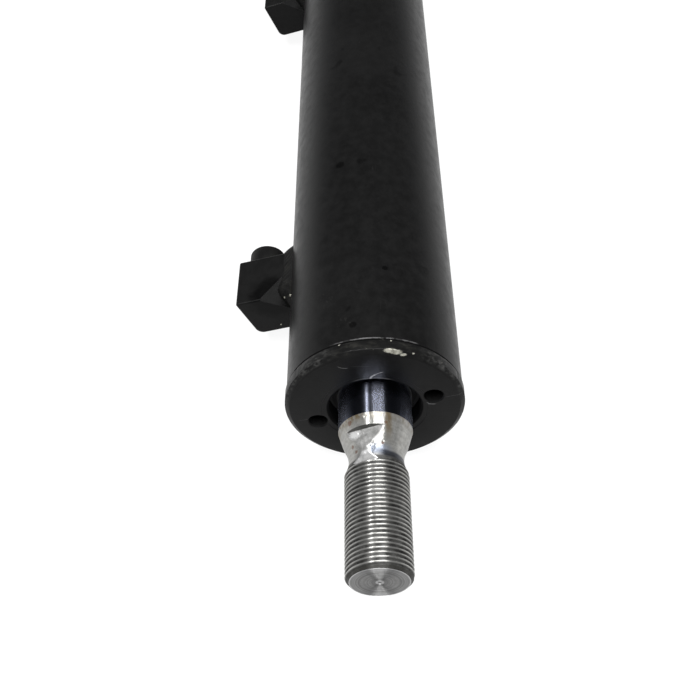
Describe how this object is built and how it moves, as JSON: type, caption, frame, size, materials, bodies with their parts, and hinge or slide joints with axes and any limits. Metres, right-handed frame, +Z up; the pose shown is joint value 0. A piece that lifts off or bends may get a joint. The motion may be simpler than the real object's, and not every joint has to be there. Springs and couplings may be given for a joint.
{
  "type": "hydraulic cylinder",
  "caption": "Double-acting hydraulic cylinder with a welded cross-tube eye, black barrel, side port blocks, screwed-in gland and a threaded chrome rod that slides and turns.",
  "frame": {"origin": "centre of the base pin bore, where it crosses the cylinder axis", "axes": "+X along the cylinder from the base to the rod end, +Z up along the base pin, +Y across; the cylinder lies on the plane z = -0.037 on the lower end of its cross tube and the gland flange"},
  "size_m": [0.5112, 0.0992, 0.074],
  "materials": {
    "black_paint": "black satin enamel over steel, scuffed, with bare metal on worn edges",
    "chromed_rod": "hard chrome on the sliding length, bare machined steel with light rust on the threaded end",
    "plug_black": "black phosphated steel plug",
    "zinc_steel": "zinc-plated steel",
    "bush_bronze": "bronze-lined bush",
    "piston_iron": "turned cast iron",
    "seal_rubber": "nitrile rubber",
    "seal_polyurethane": "polyurethane",
    "seal_ptfe": "bronze-filled low-friction plastic",
    "wear_ring_acetal": "fabric-reinforced resin"
  },
  "bodies": {
    "barrel": {"barrel_tube": "black_paint", "base_cap": "black_paint", "cross_tube": "black_paint", "base_port_block": "black_paint", "rod_port_block": "black_paint", "gland": "black_paint", "base_bush_upper": "bush_bronze", "base_bush_lower": "bush_bronze", "grease_fitting": "zinc_steel", "grease_fitting_ball": "zinc_steel", "rod_port_plug": "plug_black", "base_port_plug": "plug_black", "rod_port_plug_seal": "seal_rubber", "base_port_plug_seal": "seal_rubber", "gland_o_ring": "seal_rubber", "gland_backup_ring": "seal_ptfe", "rod_wiper": "seal_rubber", "rod_seal": "seal_polyurethane", "rod_buffer_seal": "seal_polyurethane", "rod_wear_ring_front": "wear_ring_acetal", "rod_wear_ring_rear": "wear_ring_acetal"},
    "piston_rings": {"piston_seal": "seal_ptfe", "piston_seal_energizer": "seal_rubber", "piston_wear_ring_front": "wear_ring_acetal", "piston_wear_ring_rear": "wear_ring_acetal"},
    "rod": {"piston_rod": "chromed_rod", "piston": "piston_iron", "piston_nut": "zinc_steel", "piston_o_ring": "seal_rubber"}
  },
  "joints": [
    {"name": "rod_slide", "type": "slide", "parent": "barrel", "child": "piston_rings", "axis": [1, 0, 0], "range_m": [0, 0.2]},
    {"name": "rod_spin", "type": "hinge", "parent": "piston_rings", "child": "rod", "pos_m": [0, 0, 0], "axis": [1, 0, 0], "continuous": true}
  ]
}
